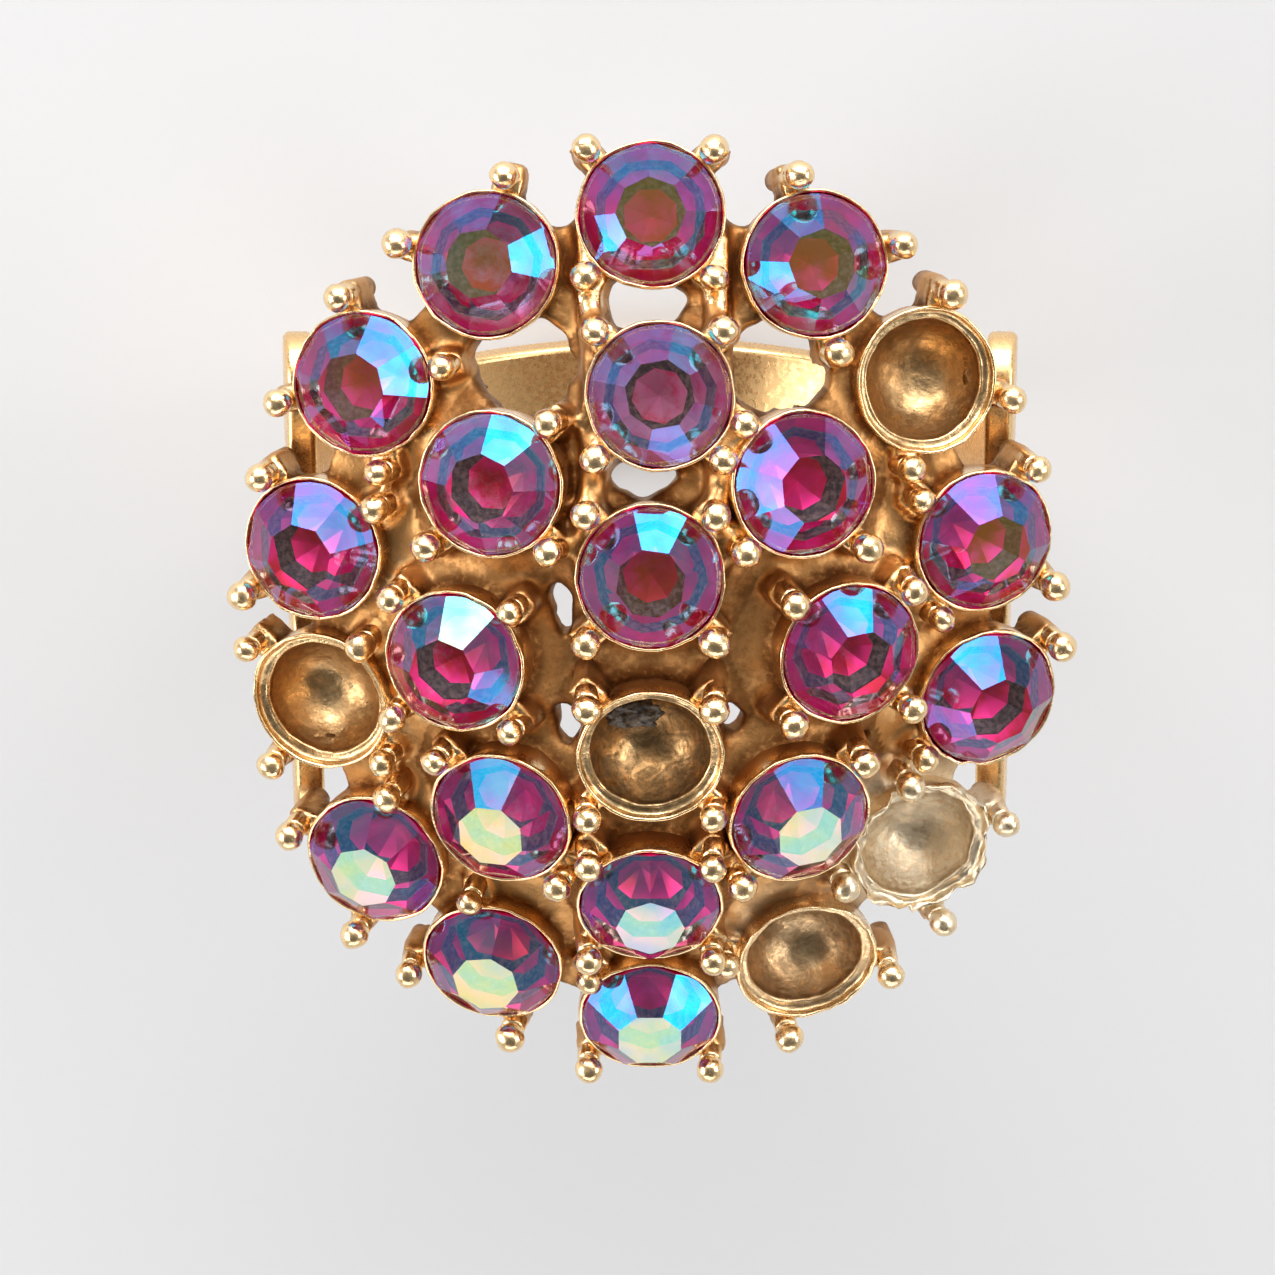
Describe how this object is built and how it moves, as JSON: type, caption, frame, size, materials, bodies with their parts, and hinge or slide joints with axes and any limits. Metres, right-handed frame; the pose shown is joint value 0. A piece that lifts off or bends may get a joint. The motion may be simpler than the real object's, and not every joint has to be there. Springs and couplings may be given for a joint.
{
  "type": "cocktail ring",
  "caption": "Cocktail ring with a two-tier open dome of claw-framed round stones, some seats empty, on a wide fixed hoop.",
  "frame": {"origin": "centre of the finger bore, midway along its width", "axes": "+Y along the finger bore towards the top of the dome, +Z from the finger towards the dome, +X to the right seen from above the dome"},
  "size_m": [0.0241, 0.0285, 0.0273],
  "materials": {
    "gold_casting": "polished gold plate with brown antique wash, worn",
    "gold_hoop": "polished gold plate",
    "coated_stone": "foil-backed ruby glass with an iridescent coating",
    "cement": "dark hard cement"
  },
  "bodies": {
    "root": {"cement_beds": "cement", "head_casting": "gold_casting", "hoop": "gold_hoop", "stone_crown_01": "coated_stone", "stone_inner_01": "coated_stone", "stone_inner_02": "coated_stone", "stone_inner_03": "coated_stone", "stone_inner_04": "coated_stone", "stone_inner_05": "coated_stone", "stone_inner_06": "coated_stone", "stone_inner_07": "coated_stone", "stone_inner_08": "coated_stone", "stone_outer_01": "coated_stone", "stone_outer_02": "coated_stone", "stone_outer_04": "coated_stone", "stone_outer_05": "coated_stone", "stone_outer_08": "coated_stone", "stone_outer_09": "coated_stone", "stone_outer_10": "coated_stone", "stone_outer_12": "coated_stone", "stone_outer_13": "coated_stone", "stone_outer_14": "coated_stone"}
  },
  "joints": []
}
